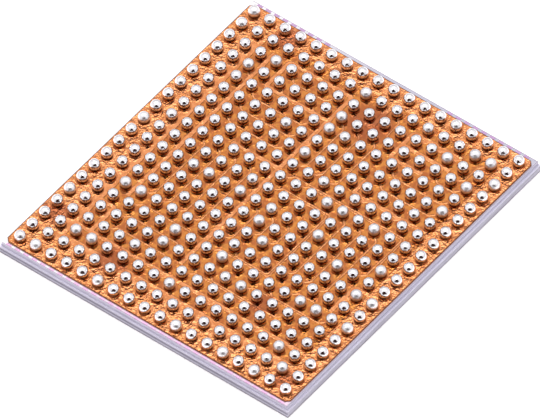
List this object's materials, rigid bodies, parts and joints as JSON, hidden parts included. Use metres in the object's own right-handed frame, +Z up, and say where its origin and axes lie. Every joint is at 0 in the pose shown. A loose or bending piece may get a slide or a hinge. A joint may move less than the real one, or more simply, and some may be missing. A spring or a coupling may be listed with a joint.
{
  "type": "ball grid array chip",
  "caption": "Thin rectangular chip-size package: a bare silicon die with stepped edges, an orange polymer film over copper runs and a full square grid of solder balls.",
  "frame": {"origin": "middle of the back face, the flat face that the part lies on", "axes": "+Z up out of the ball side, +X along a row of balls, +Y towards row A"},
  "size_m": [0.0074, 0.0082, 0.0005],
  "materials": {
    "back_coating": "matt",
    "silicon": "sawn, satin",
    "circuit": "smooth, glossy",
    "street_metal": "thin film colour, glossy",
    "lower_film": "glossy",
    "copper": "plated, bright",
    "upper_film": "clear orange film over copper, glossy",
    "pad_metal": "plated",
    "solder": "reflowed, bright with some hazy balls"
  },
  "bodies": {
    "root": {"back_coating": "back_coating", "silicon_die": "silicon", "circuit_layer": "circuit", "street_marks_front": "street_metal", "street_marks_back": "street_metal", "lower_film": "lower_film", "ground_copper": "copper", "supply_copper": "copper", "signal_copper": "copper", "land_copper": "copper", "upper_film": "upper_film", "ball_pads": "pad_metal", "ball_row_a": "solder", "ball_row_b": "solder", "ball_row_c": "solder", "ball_row_d": "solder", "ball_row_e": "solder", "ball_row_f": "solder", "ball_row_g": "solder", "ball_row_h": "solder", "ball_row_j": "solder", "ball_row_k": "solder", "ball_row_l": "solder", "ball_row_m": "solder", "ball_row_n": "solder", "ball_row_p": "solder", "ball_row_r": "solder", "ball_row_t": "solder", "ball_row_u": "solder", "ball_row_v": "solder", "ball_row_w": "solder", "ball_row_y": "solder"}
  },
  "joints": []
}
